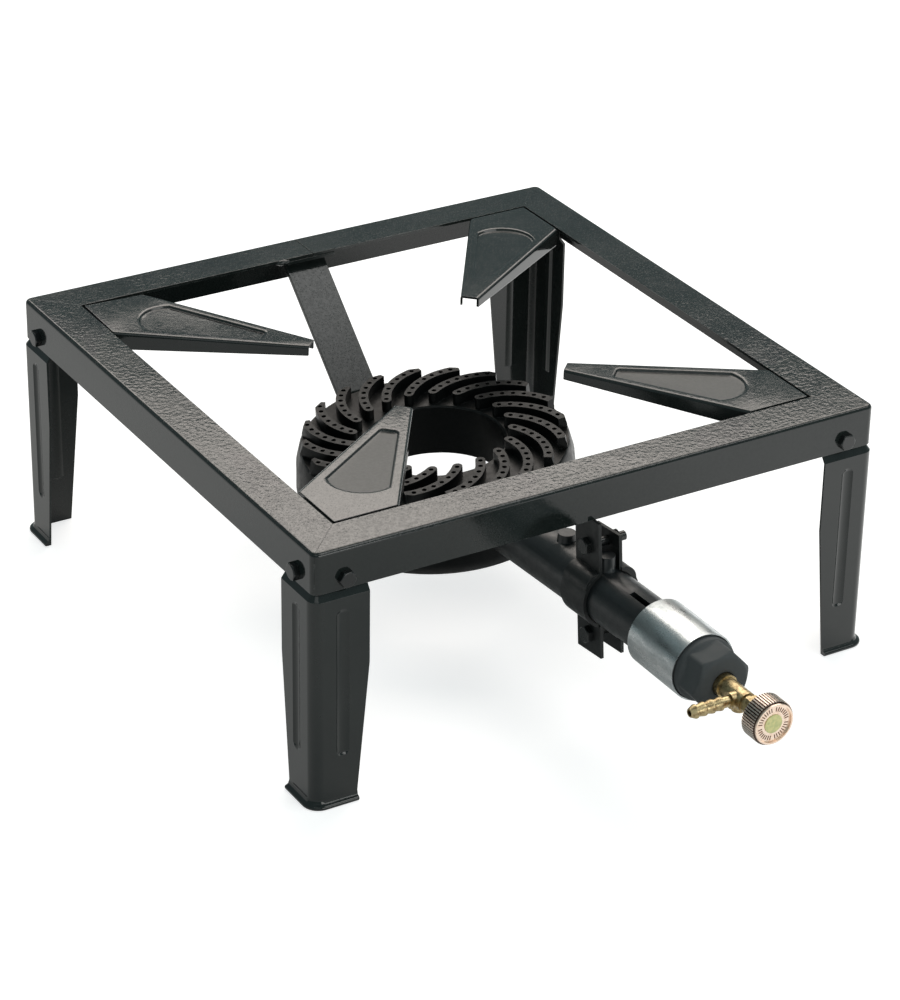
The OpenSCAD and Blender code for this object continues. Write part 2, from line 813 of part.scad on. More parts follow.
// Ring head, ribs and gas tube, cast in one piece
module burner_casting() {
    placed(iron) difference() {
        union() {
            on_rim() head_form();
            ribs();
            difference() {
                tube_form();
                on_rim() cylinder(r = tube_end_r, h = stand_h);
                on_rim() translate([0, 0, head_z - 0.5]) cylinder(r = rim_r, h = stand_h);
            }
            translate([0, lug_y, lug_low]) cylinder(r = lug_r, h = 12);
        }
        on_rim() chamber();
        on_head() at_ribs(head_z - cast_wall - 3.5) ports();
        tube_bore();
        translate([0, lug_y, lug_low - 1]) cylinder(d = bolt_d + 0.1, h = 13);
    }
}

// Leaning frame of the clamp, with its origin on the tube's axis
module on_clamp() {
    translate([0, -clamp_mid, tube_z(clamp_mid)]) rotate([-clamp_lean, 0, 0]) children();
}

// Places its children at both clamp bolts, +Z pointing to the right, from x
module at_clamp_bolts(x) {
    for (z = [upper_bolt_at, -lower_bolt_at])
        on_clamp() translate([x, 0, z]) rotate([0, 90, 0]) children();
}

// Room for the clamp: free below the skirt, then behind it up to the flange
module clamp_room() {
    behind = half_w - bend_r;
    rotate([90, 0, 90]) linear_extrude(big, center = true) polygon([
        [-mouth, 0], [-mouth, skirt_low - skirt_clear], [-behind, skirt_low - skirt_clear],
        [-behind, flange_low], [0, flange_low], [0, 0]]);
}

// One side of the clamp: half ring with a bulge, upper tab and lower ear, side 1 is right
module clamp_half(side, tab_top) {
    tab_x = side > 0 ? clamp_gap : -clamp_gap - clamp_t;
    mid_tab = clamp_gap + clamp_t / 2;
    hug_z = sqrt(pow(clamp_in, 2) - pow(clamp_gap + clamp_t, 2)) - 2;
    difference() {
        intersection() {
            union() {
                intersection() {
                    along_tube(clamp_back) {
                        cylinder(r = clamp_out, h = clamp_w);
                        rotate([0, 0, side > 0 ? 45 : 135])
                            translate([clamp_out + clamp_bulge - clamp_bulge_r, 0, 0.5])
                                cylinder(r = clamp_bulge_r, h = clamp_w - 1);
                    }
                    translate([side > 0 ? mid_tab : -mid_tab - big, -big / 2, 0]) cube(big);
                }
                on_clamp() translate([tab_x, -clamp_w / 2, hug_z])
                    cube([clamp_t, clamp_w, tab_top - hug_z]);
                on_clamp() translate([tab_x, -clamp_w / 2, ear_low])
                    cube([clamp_t, clamp_w, -hug_z - ear_low]);
            }
            clamp_room();
        }
        along_tube(clamp_back - 2) cylinder(r = clamp_in, h = clamp_w + 4);
        at_clamp_bolts(-big / 2) cylinder(d = bolt_d + 2 * bolt_fit, h = big);
    }
}

module clamp_left() {
    placed(paint) clamp_half(-1, left_tab_top);
}

module clamp_right() {
    placed(paint) clamp_half(1, right_tab_top);
}

module clamp_bolts() {
    shank = 2 * (clamp_gap + clamp_t) + nut_h + clamp_thread_over;
    placed(paint) at_clamp_bolts(-clamp_gap - clamp_t) bolt(shank);
}

module clamp_nuts() {
    placed(paint) at_clamp_bolts(clamp_gap + clamp_t) nut();
}

// Bent strap from the splice plate down to the lug under the ring's rear side
module burner_strap() {
    top = flange_low - splice_t;
    behind = ring_r + head_back + strap_gap;
    line = round_path([
        [half_w - rail_t - 1, top], [half_w - strap_top_len, top],
        [behind + strap_slant, head_z - strap_slant], [behind, belt_z],
        [behind, lug_low], [lug_y - strap_end, lug_low]], 6, 4);
    back = side_path(line, strap_t);
    placed(paint) difference() {
        translate([-strap_w / 2, 0, 0]) rotate([90, 0, 90])
            linear_extrude(strap_w) polygon(concat(line, [for (i = [len(line) - 1:-1:0]) back[i]]));
        translate([0, lug_y, lug_low - strap_t - 1]) cylinder(d = bolt_d + 2 * bolt_fit, h = strap_t + 2);
    }
}

module strap_bolt() {
    placed(paint) translate([0, lug_y, lug_low - strap_t]) bolt(strap_t + lug_bolt_len);
}

// Sliding sleeve that covers the air slots
module air_shutter() {
    placed("#c3c8c6") forward(mouth + sleeve_out - sleeve_len) difference() {
        cylinder(r = collar_r + sleeve_fit + sleeve_t, h = sleeve_len, $fn = 96);
        translate([0, 0, -1]) cylinder(r = collar_r + sleeve_fit, h = sleeve_len + 2, $fn = 96);
    }
}

// Cap that closes the mouth and carries the valve
module nozzle_cap() {
    collar = collar_r - 0.6;
    nose_r = collar - 0.4;
    placed("#26282a") difference() {
        union() {
            forward(mouth - cap_spigot) cylinder(r = socket_r - 0.2, h = cap_spigot + 1);
            forward(mouth) cylinder(r = collar, h = cap_collar_len - 2.5);
            forward(mouth + cap_collar_len - 2.5) cylinder(r1 = collar, r2 = cap_af / 2, h = 2.5);
            forward(mouth + cap_collar_len - 3) intersection() {
                rotate([0, 0, cap_turn]) hex(cap_af, cap_nose_len + 3);
                union() {
                    cylinder(r = nose_r, h = cap_nose_len);
                    translate([0, 0, cap_nose_len]) cylinder(r1 = nose_r, r2 = nose_r - 3.6, h = 3);
                }
            }
        }
        forward(mouth - cap_spigot - 1) cylinder(r = cap_thread_r + 0.1, h = cap_front);
        forward(cap_front - 3) cylinder(r = valve_flange_r + 0.4, h = 4);
        forward(mouth - cap_spigot - 1) cylinder(r = socket_r - 3, h = 9);
    }
}

// Jet screwed into the end of the valve
module injector_jet() {
    placed(brass) difference() {
        union() {
            forward(mouth - jet_len) cylinder(r1 = jet_r - 1.5, r2 = jet_r, h = 4);
            forward(mouth - jet_len + 4) hex(2 * jet_r, jet_len - 4);
        }
        forward(mouth - jet_len - 1) cylinder(r = 0.5, h = jet_len + 2);
        forward(mouth - 8) cylinder(r = 1.6, h = 9);
    }
}

// Valve body with its threaded end in the cap and a boss for the hose barb
module valve_body() {
    placed(brass) difference() {
        union() {
            forward(mouth) cylinder(r = cap_thread_r, h = cap_front - mouth);
            forward(cap_front - 2.9) cylinder(r = valve_flange_r, h = 6.4);
            forward(cap_front) cylinder(r = valve_r, h = valve_len - 3);
            forward(valve_front - 3) cylinder(r = valve_r - 1, h = 3);
            translate([-barb_root, -barb_y, mouth_z]) rotate([0, 90, 0])
                cylinder(r = valve_r - 1.2, h = barb_root);
            translate([0, -barb_y + 1, mouth_z - valve_r - 2.4]) cylinder(r = valve_r - 2, h = valve_r + 2.4);
        }
        forward(mouth - 1) cylinder(r = seat_r, h = valve_front - mouth + 2);
        forward(mouth - 1) cylinder(r = 2.5, h = seat_y - mouth - 3);
        forward(seat_y) cylinder(r = chamber_r, h = valve_front - seat_y + 1);
        translate([-barb_root - 1, -barb_y, mouth_z]) rotate([0, 90, 0])
            cylinder(r = barb_thread_r + 0.02, h = barb_root - chamber_r);
        translate([-barb_root - 1, -barb_y, mouth_z]) rotate([0, 90, 0])
            cylinder(r = barb_bore_r, h = barb_root);
    }
}

// Outline of the hose barb from its root to its tip, as radius and distance
function barb_outline() = concat(
    [[0, chamber_r + 1], [barb_thread_r, chamber_r + 1], [barb_thread_r, barb_root], [barb_r, barb_root],
     [barb_r, barb_reach - barb_tip_len - barb_ridges * barb_pitch]],
    [for (i = [barb_ridges - 1:-1:0])
        let (d = barb_reach - barb_tip_len - (i + 1) * barb_pitch, next = d + barb_pitch)
        each [[barb_ridge_r, d], [barb_ridge_r, d + ridge_land], [barb_r, next - 0.6], [barb_r, next]]],
    [[barb_ridge_r, barb_reach - barb_tip_len], [barb_ridge_r, barb_reach - barb_tip_len + ridge_land],
     [barb_bore_r + 0.7, barb_reach], [0, barb_reach]]);

// Ridged tail for the gas hose, pointing along -X
module hose_barb() {
    placed(brass) translate([0, -barb_y, mouth_z]) rotate([0, -90, 0]) difference() {
        rotate_extrude() polygon(barb_outline());
        cylinder(r = barb_bore_r, h = barb_reach + 1);
    }
}

// Nut that guides the spindle and presses its seal
module gland_nut() {
    placed(brass) difference() {
        union() {
            forward(valve_front) hex(2 * valve_r - 0.6, gland_len - 2);
            forward(gland_front - 2) cylinder(r = valve_r - 1.3, h = 2);
            forward(valve_front - 5) cylinder(r = chamber_r - 0.02, h = 5 + eps);
        }
        forward(valve_front - 6) cylinder(r = spindle_r + spindle_fit, h = gland_len + 8);
    }
}

// Rubber seal round the spindle, under the gland nut
module spindle_seal() {
    placed("#151515") forward(valve_front - 5 - seal_w) difference() {
        cylinder(r = chamber_r - 0.02, h = seal_w);
        translate([0, 0, -1]) cylinder(r = spindle_r + spindle_fit, h = seal_w + 2);
    }
}

// Needle that rises from its seat as the knob turns
module valve_spindle() {
    placed(brass) difference() {
        union() {
            forward(seat_y + 3) cylinder(r = spindle_r, h = knob_front - face_d - 3 - seat_y - 3);
            forward(seat_y + 0.1) cylinder(r1 = seat_r - 0.1, r2 = spindle_r, h = 3);
        }
        forward(knob_front - face_d - 3 - screw_len) cylinder(r = screw_r + 0.05, h = screw_len + 1);
    }
}

// Fluted outline of the knob
function flute_outline(r) = [
    for (i = [0:flute_count - 1], p = [[0, 0], [0.42, 0], [0.58, flute_d], [0.84, flute_d]])
        let (a = (i + p[0]) * 360 / flute_count) (r - p[1]) * [cos(a), sin(a)]];

// Form that chamfers both ends of the fluted prism
module knob_chamfers() {
    wide = knob_r + 1;
    narrow = knob_r - flute_d - 0.35;
    len = knob_len - 2;
    cylinder(r1 = narrow, r2 = wide, h = wide - narrow);
    translate([0, 0, wide - narrow]) cylinder(r = wide, h = len - 2 * (wide - narrow));
    translate([0, 0, len - (wide - narrow)]) cylinder(r1 = wide, r2 = narrow, h = wide - narrow);
}

// Fluted knob with a recessed face and a hub on the spindle
module knob() {
    placed("#b98f78") difference() {
        union() {
            intersection() {
                forward(knob_back + 1) linear_extrude(knob_len - 2) polygon(flute_outline(knob_r));
                forward(knob_back + 1) knob_chamfers();
            }
            forward(knob_back) cylinder(r = knob_r - 2.2, h = 2);
            forward(knob_front - 2) cylinder(r1 = knob_r - 0.9, r2 = knob_r - 1.3, h = 2);
        }
        forward(knob_front - face_d) cylinder(r = knob_r - 2.3, h = face_d + 1);
        forward(knob_back - 1) cylinder(r = spindle_r + spindle_fit, h = knob_len + 2);
        forward(knob_front - face_d - 3) cylinder(r = disc_r - 1.5, h = 5);
        forward(knob_back - 1) difference() {
            cylinder(r = knob_r - 3.6, h = 6);
            translate([0, 0, -1]) cylinder(r = 4.5, h = 8);
        }
    }
}

// Screw that holds the knob on the spindle
module knob_screw() {
    placed("#9a9a94") {
        forward(knob_front - face_d - 3) cylinder(r = disc_r - 2.2, h = 1.8);
        forward(knob_front - face_d - 3 - screw_len + 0.5) cylinder(r = screw_r - 0.02, h = screw_len);
    }
}

// Disc that covers the screw in the middle of the knob's face
module knob_disc() {
    placed("#b9c07a") {
        forward(knob_front - face_d) cylinder(r = disc_r, h = 0.5);
        forward(knob_front - face_d - 1.1) cylinder(r = disc_r - 1.7, h = 1.2);
    }
}

rail_front();
rail_left();
rail_right();
rail_rear_left();
rail_rear_right();
splice_plate();
leg_front_left();
leg_front_right();
leg_rear_left();
leg_rear_right();
leg_bolts();
leg_nuts();
support_front_left();
support_front_right();
support_rear_left();
support_rear_right();
burner_casting();
clamp_left();
clamp_right();
clamp_bolts();
clamp_nuts();
burner_strap();
strap_bolt();
air_shutter();
nozzle_cap();
injector_jet();
valve_body();
hose_barb();
gland_nut();
spindle_seal();
valve_spindle();
knob();
knob_screw();
knob_disc();
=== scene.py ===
"""Looks of a cast iron gas burner on its pressed steel stand: rounded edges, paint, casting skin,
plating and brass, with a pale floor, soft studio light and a camera. Metres, +Z up, and the valve
points to -Y."""

import json
import math

import bpy
from mathutils import Matrix, Vector

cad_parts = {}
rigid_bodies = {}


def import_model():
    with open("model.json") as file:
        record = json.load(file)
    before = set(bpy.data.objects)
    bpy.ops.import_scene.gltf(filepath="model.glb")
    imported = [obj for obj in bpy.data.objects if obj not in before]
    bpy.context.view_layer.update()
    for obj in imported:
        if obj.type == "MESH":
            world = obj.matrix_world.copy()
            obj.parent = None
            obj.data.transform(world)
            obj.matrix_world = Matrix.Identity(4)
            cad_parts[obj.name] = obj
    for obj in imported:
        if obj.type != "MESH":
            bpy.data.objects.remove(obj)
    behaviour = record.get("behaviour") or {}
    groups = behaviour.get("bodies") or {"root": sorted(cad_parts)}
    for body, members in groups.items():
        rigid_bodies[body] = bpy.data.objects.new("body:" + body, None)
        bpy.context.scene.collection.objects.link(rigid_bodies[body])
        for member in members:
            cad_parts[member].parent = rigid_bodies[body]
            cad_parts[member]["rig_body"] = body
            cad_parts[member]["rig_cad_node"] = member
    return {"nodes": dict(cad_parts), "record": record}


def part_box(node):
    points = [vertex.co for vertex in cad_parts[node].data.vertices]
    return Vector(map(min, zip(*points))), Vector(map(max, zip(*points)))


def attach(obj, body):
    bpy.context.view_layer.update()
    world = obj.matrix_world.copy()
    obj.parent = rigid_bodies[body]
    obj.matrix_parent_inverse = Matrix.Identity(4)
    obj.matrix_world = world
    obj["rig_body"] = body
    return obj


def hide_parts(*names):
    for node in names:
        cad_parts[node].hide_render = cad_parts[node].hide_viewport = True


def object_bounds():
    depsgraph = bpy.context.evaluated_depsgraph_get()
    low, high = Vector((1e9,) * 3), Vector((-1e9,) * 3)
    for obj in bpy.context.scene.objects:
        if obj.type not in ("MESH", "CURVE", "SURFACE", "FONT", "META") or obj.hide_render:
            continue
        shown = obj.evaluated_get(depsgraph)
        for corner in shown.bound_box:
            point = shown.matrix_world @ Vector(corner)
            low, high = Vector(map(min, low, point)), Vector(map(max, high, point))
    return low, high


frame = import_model()
cad_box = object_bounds()

MM = 0.001

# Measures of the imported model
stand_low, stand_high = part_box("rail_front")
POT_PLANE = stand_high.z
HALF_STAND = stand_high.x
STAND_MIDDLE = stand_low.y + HALF_STAND
knob_low, knob_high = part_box("knob")
KNOB_MIDDLE = (knob_low + knob_high) / 2
KNOB_RADIUS = (knob_high.x - knob_low.x) / 2
DISC_PROUD = 0.5 * MM
KNOB_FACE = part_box("knob_disc")[0].y + DISC_PROUD

# The ring is round, and its rear end is the casting's
casting_low, casting_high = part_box("burner_casting")
HEAD_FRONT = casting_high.y - (casting_high.x - casting_low.x)

# Camera at the photograph's viewing angle: metres, degrees and millimetres
CAMERA_PLACE = Vector((-1.01654, -1.61793, 1.12936))
CAMERA_AZIMUTH, CAMERA_ELEVATION, CAMERA_ROLL = 211.069, 28.221, 0.982
LENS, SENSOR = 123.29, 36

# Soft boxes that face the stand: azimuth and elevation in degrees, width and height in metres,
# radiance (1 shows as white) and colour
BOX_DISTANCE = 3.0
SOFT_BOXES = {
    "back_box": (34, 46, (3.1, 2.06), 3.9, (1, 0.91, 0.84)),
    "side_box": (131, 56, (1.5, 1.3), 3.0, (1, 0.98, 0.96)),
    "front_box": (222, 50, (1.6, 1.2), 0.9, (1, 0.99, 0.97)),
    "low_box": (172, 14, (1.6, 1.2), 3.4, (1, 0.98, 0.96)),
}
ROOM_COLOUR, ROOM_STRENGTH = (0.76, 0.97, 1), 0.32

# The colour mixer repeats its sockets' names, so they go by number
MIX_SHARE, MIX_FIRST, MIX_SECOND, MIX_RESULT = 0, 6, 7, 2

# Heights between which the painted shade on the gloss fades out; for paint without that shade,
# below the floor
NO_GLOSS_SHADE = (-1.0, -0.5)

# Width of rubbed edges on small pieces and on all others
FINE_WEAR, WEAR = 0.6 * MM, 1.0 * MM

# A dressed copy's points are merged and its faces joined within these
SAME_PLACE = 2e-6
SAME_PLANE = math.radians(0.5)


def direction(azimuth, elevation):
    """Unit vector for two angles in degrees; azimuth runs from +Y towards +X."""
    turn, lift = math.radians(azimuth), math.radians(elevation)
    return Vector(
        (math.sin(turn) * math.cos(lift), math.cos(turn) * math.cos(lift), math.sin(lift))
    )


def place_camera():
    back = direction(CAMERA_AZIMUTH, CAMERA_ELEVATION)
    right = (-back).cross(Vector((0, 0, 1))).normalized()
    up = right.cross(-back)
    roll = math.radians(CAMERA_ROLL)
    tilted_right = right * math.cos(roll) + up * math.sin(roll)
    tilted_up = up * math.cos(roll) - right * math.sin(roll)
    data = bpy.data.cameras.new("camera")
    data.sensor_width = SENSOR
    data.lens = LENS
    camera = bpy.data.objects.new("camera", data)
    axes = Matrix((tilted_right, tilted_up, back)).transposed().to_4x4()
    camera.matrix_world = Matrix.Translation(CAMERA_PLACE) @ axes
    bpy.context.scene.collection.objects.link(camera)
    bpy.context.scene.camera = camera


def soft_box(name, azimuth, elevation, size, radiance, colour):
    towards = direction(azimuth, elevation)
    middle = Vector((0, (cad_box[0][1] + cad_box[1][1]) / 2, POT_PLANE))
    data = bpy.data.lights.new(name, "AREA")
    data.shape = "RECTANGLE"
    data.size, data.size_y = size
    data.energy = radiance * math.pi * size[0] * size[1]
    data.color = colour
    lamp = bpy.data.objects.new(name, data)
    lamp.location = middle + towards * BOX_DISTANCE
    lamp.rotation_euler = towards.to_track_quat("Z", "Y").to_euler()
    lamp.visible_camera = False
    bpy.context.scene.collection.objects.link(lamp)


def light_studio():
    """A large warm box behind the stand, smaller ones around its front, and a pale blue room."""
    for name, settings in SOFT_BOXES.items():
        soft_box(name, *settings)
    world = bpy.data.worlds.new("studio")
    world.use_nodes = True
    backdrop = world.node_tree.nodes["Background"]
    backdrop.inputs["Color"].default_value = (*ROOM_COLOUR, 1)
    backdrop.inputs["Strength"].default_value = ROOM_STRENGTH
    bpy.context.scene.world = world


# Shader helpers. A value is a number, a colour, a vector or another node's socket.


def feed(tree, socket, value):
    if isinstance(value, bpy.types.NodeSocket):
        tree.links.new(value, socket)
    elif socket.type == "RGBA":
        socket.default_value = (*value, 1)
    else:
        socket.default_value = value


def put(tree, kind, settings=(), **inputs):
    """One shader node with inputs by name, where an underscore stands for a space."""
    node = tree.nodes.new(kind)
    for name, value in dict(settings).items():
        setattr(node, name, value)
    for name, value in inputs.items():
        feed(tree, node.inputs[name.replace("_", " ")], value)
    return node


def feed_in_order(tree, node, values):
    for socket, value in zip(node.inputs, values):
        feed(tree, socket, value)


def calculate(tree, operation, *values):
    node = put(tree, "ShaderNodeMath", {"operation": operation})
    feed_in_order(tree, node, values)
    return node.outputs[0]


def plus(tree, a, b):
    return calculate(tree, "ADD", a, b)


def times(tree, a, b):
    return calculate(tree, "MULTIPLY", a, b)


def measure(tree, operation, *vectors):
    """Number that a distance, dot product or length gives."""
    node = put(tree, "ShaderNodeVectorMath", {"operation": operation})
    feed_in_order(tree, node, vectors)
    return node.outputs["Value"]


def axis_of(tree, vector, axis):
    return put(tree, "ShaderNodeSeparateXYZ", Vector=vector).outputs[axis]


def object_place(tree):
    return put(tree, "ShaderNodeTexCoord").outputs["Object"]


def mapped_place(tree, **mapping):
    return put(tree, "ShaderNodeMapping", Vector=object_place(tree), **mapping).outputs["Vector"]


def face_normal(tree):
    return put(tree, "ShaderNodeNewGeometry").outputs["Normal"]


def noise(tree, size, detail=2.0, roughness=0.5, place=None):
    """Cloudy value from 0 to 1 with patches of the given size in metres."""
    settings = {"Scale": 1 / size, "Detail": detail, "Roughness": roughness}
    place = place or object_place(tree)
    return put(tree, "ShaderNodeTexNoise", Vector=place, **settings).outputs["Fac"]


def spread(tree, value, low, high, to_low=0.0, to_high=1.0):
    """Value from low to high carried over to another range, with soft ends."""
    ranges = {"From_Min": low, "From_Max": high, "To_Min": to_low, "To_Max": to_high}
    smooth = {"interpolation_type": "SMOOTHSTEP"}
    return put(tree, "ShaderNodeMapRange", smooth, Value=value, **ranges).outputs["Result"]


def patches(tree, size, low, high, to_low=0.0, to_high=1.0, detail=2.0, roughness=0.5, place=None):
    """Noise with patches of the given size, spread from low to high."""
    cloudy = noise(tree, size, detail, roughness, place)
    return spread(tree, cloudy, low, high, to_low, to_high)


def blend_colours(tree, share, first, second):
    """First colour at a share of 0 and second at 1."""
    node = put(tree, "ShaderNodeMix", {"data_type": "RGBA"})
    for index, value in ((MIX_SHARE, share), (MIX_FIRST, first), (MIX_SECOND, second)):
        feed(tree, node.inputs[index], value)
    return node.outputs[MIX_RESULT]


def make_group(name, build, outputs, **inputs):
    """Shared effect as a node group. Build gets the tree and a socket for each input, and returns
    a socket for each output."""
    tree = bpy.data.node_groups.new(name, "ShaderNodeTree")
    for label, value in inputs.items():
        socket = tree.interface.new_socket(label, in_out="INPUT", socket_type="NodeSocketFloat")
        socket.default_value = value
    for label in outputs:
        tree.interface.new_socket(label, in_out="OUTPUT", socket_type="NodeSocketFloat")
    entry = tree.nodes.new("NodeGroupInput")
    leave = tree.nodes.new("NodeGroupOutput")
    results = build(tree, *(entry.outputs[label] for label in inputs))
    for label, value in zip(outputs, results):
        tree.links.new(value, leave.inputs[label])
    return tree


def use_group(tree, group, **inputs):
    return put(tree, "ShaderNodeGroup", {"node_tree": group}, **inputs).outputs


def build_peel(tree, share):
    """Hammered skin of thick paint: rounded dimples, a finer grain between them and pits. Share
    is how much of it shows."""
    dimples = noise(tree, 3.2 * MM, detail=1.0)
    grain = times(tree, noise(tree, 1.3 * MM, detail=1.0, roughness=0.6), 0.34)
    pits = patches(tree, 1.0 * MM, 0.66, 0.74, 0, -0.6, detail=0.0)
    depth = patches(tree, 45 * MM, 0.3, 0.7, 0.55, 1.0, roughness=0.6)
    height = times(tree, plus(tree, plus(tree, dimples, pits), grain), depth)
    return [times(tree, height, share)]


def build_cast_skin(tree):
    """Skin of a sand casting: grains, and soft lumps a few millimetres across."""
    grains = noise(tree, 0.8 * MM, roughness=0.65)
    lumps = noise(tree, 6 * MM, roughness=0.55)
    return [plus(tree, grains, times(tree, lumps, 1.6)), lumps]


def build_edge_wear(tree, width, amount):
    """Mask of outer edges where the finish is rubbed, broken up along the edge."""
    rounded = put(tree, "ShaderNodeBevel", {"samples": 4}, Radius=width).outputs["Normal"]
    likeness = measure(tree, "DOT_PRODUCT", rounded, face_normal(tree))
    edge = spread(tree, likeness, 0.99, 0.86)
    breaks = patches(tree, 5 * MM, 0.48, 0.62, detail=3.0, roughness=0.7)
    return [times(tree, times(tree, edge, breaks), amount)]


def build_smudges(tree):
    """Cloudy handling marks, from 0 to 1."""
    wide = times(tree, noise(tree, 60 * MM, detail=3.0, roughness=0.6), 0.65)
    fine = times(tree, noise(tree, 7 * MM, detail=4.0, roughness=0.7), 0.35)
    return [spread(tree, plus(tree, wide, fine), 0.35, 0.65)]


PEEL = make_group("paint_peel", build_peel, ["Height"], Share=1.0)
CAST_SKIN = make_group("cast_skin", build_cast_skin, ["Height", "Lumps"])
EDGE_WEAR = make_group("edge_wear", build_edge_wear, ["Mask"], Width=WEAR, Amount=1.0)
SMUDGES = make_group("smudges", build_smudges, ["Value"])


def new_material(name):
    material = bpy.data.materials.new(name)
    material.use_nodes = True
    tree = material.node_tree
    return material, tree, tree.nodes["Principled BSDF"]


def set_look(tree, shader, colour, roughness, metallic=0.0, specular=0.5):
    """Colour and finish of a material; 0.5 is the shader's own specular level."""
    looks = {
        "Base Color": colour,
        "Roughness": roughness,
        "Metallic": metallic,
        "Specular IOR Level": specular,
    }
    for name, value in looks.items():
        feed(tree, shader.inputs[name], value)


def set_bump(tree, shader, height, depth, round_edges=0.0):
    """Bump of a depth in metres for a height from 0 to 1, over edges rounded by a radius."""
    node = put(tree, "ShaderNodeBump", Height=height, Distance=depth)
    if round_edges > 0:
        soft = put(tree, "ShaderNodeBevel", {"samples": 6}, Radius=round_edges)
        tree.links.new(soft.outputs["Normal"], node.inputs["Normal"])
    tree.links.new(node.outputs["Normal"], shader.inputs["Normal"])


def wear_edges(tree, colour, bare, amount, width=WEAR):
    """Colour with the bare one showing on rubbed outer edges."""
    mask = use_group(tree, EDGE_WEAR, Width=width, Amount=amount)["Mask"]
    return blend_colours(tree, mask, colour, bare)


def lumpy_look(tree, dark, pale, rough):
    """Casting skin with the colour and roughness that go with its lumps."""
    skin = use_group(tree, CAST_SKIN)
    colour = blend_colours(tree, skin["Lumps"], dark, pale)
    return skin["Height"], colour, spread(tree, skin["Lumps"], 0.3, 0.7, *rough)


def gloss_paint(name, peel, wear, mottle, gloss_shade=NO_GLOSS_SHADE, round_edges=0.0, panels=False):
    """Black-green gloss paint on sheet steel. Peel is the skin's depth in metres, wear the share
    of bare edges and mottle the uneven gloss of faces that look up. Below a pair of heights the
    gloss is dimmed as painted shade, coming back between them. With panels, the sunk ones are
    duller."""
    material, tree, shader = new_material(name)
    clean, handled, bare = (0.0085, 0.012, 0.0112), (0.013, 0.0165, 0.0155), (0.11, 0.115, 0.11)
    marks = use_group(tree, SMUDGES)["Value"]
    upward = spread(tree, axis_of(tree, face_normal(tree), "Z"), 0.3, 0.8, 0.2, 1)
    height = axis_of(tree, object_place(tree), "Z")
    freckles = patches(tree, 2.2 * MM, 0.36, 0.64, mottle, 0, detail=3.0, roughness=0.65)
    gloss = calculate(tree, "SUBTRACT", 1, times(tree, freckles, upward))
    # Painted shade: below the given heights the gloss is dimmed
    gloss = times(tree, gloss, spread(tree, height, *gloss_shade, 0.2, 0.5))
    colour = wear_edges(tree, blend_colours(tree, marks, clean, handled), bare, wear)
    rough = spread(tree, marks, 0, 1, 0.07, 0.12)
    if panels:
        sunk = spread(tree, height, POT_PLANE - 1.7 * MM, POT_PLANE - 0.4 * MM, 0.22, 0)
        rough = plus(tree, rough, times(tree, sunk, upward))
    set_look(tree, shader, colour, rough, specular=gloss)
    shader.inputs["IOR"].default_value = 1.47
    skin = use_group(tree, PEEL, Share=upward)["Height"]
    set_bump(tree, shader, skin, peel, round_edges)
    return material


def clamp_paint():
    """Thin dull black on the clamp, which shows the rough sheet under it."""
    material, tree, shader = new_material("clamp_paint")
    dark, pale, bare = (0.007, 0.008, 0.008), (0.015, 0.017, 0.017), (0.11, 0.11, 0.11)
    height, colour, rough = lumpy_look(tree, dark, pale, (0.34, 0.5))
    colour = wear_edges(tree, colour, bare, 0.5, FINE_WEAR)
    set_look(tree, shader, colour, rough, specular=0.3)
    set_bump(tree, shader, height, 0.03 * MM)
    return material


def bolt_paint():
    """Thinner black paint on the fasteners."""
    material, tree, shader = new_material("bolt_paint")
    clean, handled, bare = (0.006, 0.007, 0.007), (0.013, 0.0145, 0.0145), (0.13, 0.13, 0.125)
    marks = use_group(tree, SMUDGES)["Value"]
    colour = wear_edges(tree, blend_colours(tree, marks, clean, handled), bare, 0.5, FINE_WEAR)
    set_look(tree, shader, colour, spread(tree, marks, 0, 1, 0.22, 0.38))
    set_bump(tree, shader, noise(tree, 0.9 * MM), 0.03 * MM)
    return material


def cast_iron():
    """Black coated casting, with the head darker and duller than the tube. The head's darker
    colour is partly soot and partly painted shade, and the tube's paler colour is partly painted
    light.
    """
    material, tree, shader = new_material("burner_iron")
    dark, pale = (0.0025, 0.003, 0.003), (0.006, 0.0068, 0.0068)
    tube, bare = (0.012, 0.0145, 0.0155), (0.12, 0.12, 0.12)
    height, colour, rough = lumpy_look(tree, dark, pale, (0.3, 0.42))
    along = axis_of(tree, object_place(tree), "Y")
    head = spread(tree, along, HEAD_FRONT - 30 * MM, HEAD_FRONT + 10 * MM)
    # Painted shade and light: the head is darker and the tube paler, partly for soot and partly
    # for how light falls
    colour = blend_colours(tree, head, tube, colour)
    colour = wear_edges(tree, colour, bare, 0.35, 0.8 * MM)
    set_look(tree, shader, colour, rough, specular=spread(tree, head, 0, 1, 0.42, 0.15))
    set_bump(tree, shader, height, 0.05 * MM)
    return material


def zinc_plate():
    """Bright zinc on the rolled sleeve, with clouds drawn out along it and faint grain."""
    material, tree, shader = new_material("shutter_zinc")
    bright, dull = (0.50, 0.525, 0.53), (0.34, 0.37, 0.375)
    drawn_out = mapped_place(tree, Scale=(1, 0.3, 1))
    clouds = patches(tree, 7 * MM, 0.38, 0.62, detail=4.0, roughness=0.65, place=drawn_out)
    specks = patches(tree, 1.4 * MM, 0.46, 0.68, detail=3.0, roughness=0.65)
    tone = plus(tree, times(tree, clouds, 0.6), times(tree, specks, 0.4))
    colour = blend_colours(tree, tone, bright, dull)
    set_look(tree, shader, colour, spread(tree, tone, 0, 1, 0.27, 0.42), metallic=1)
    set_bump(tree, shader, plus(tree, times(tree, specks, 0.15), clouds), 0.03 * MM)
    return material


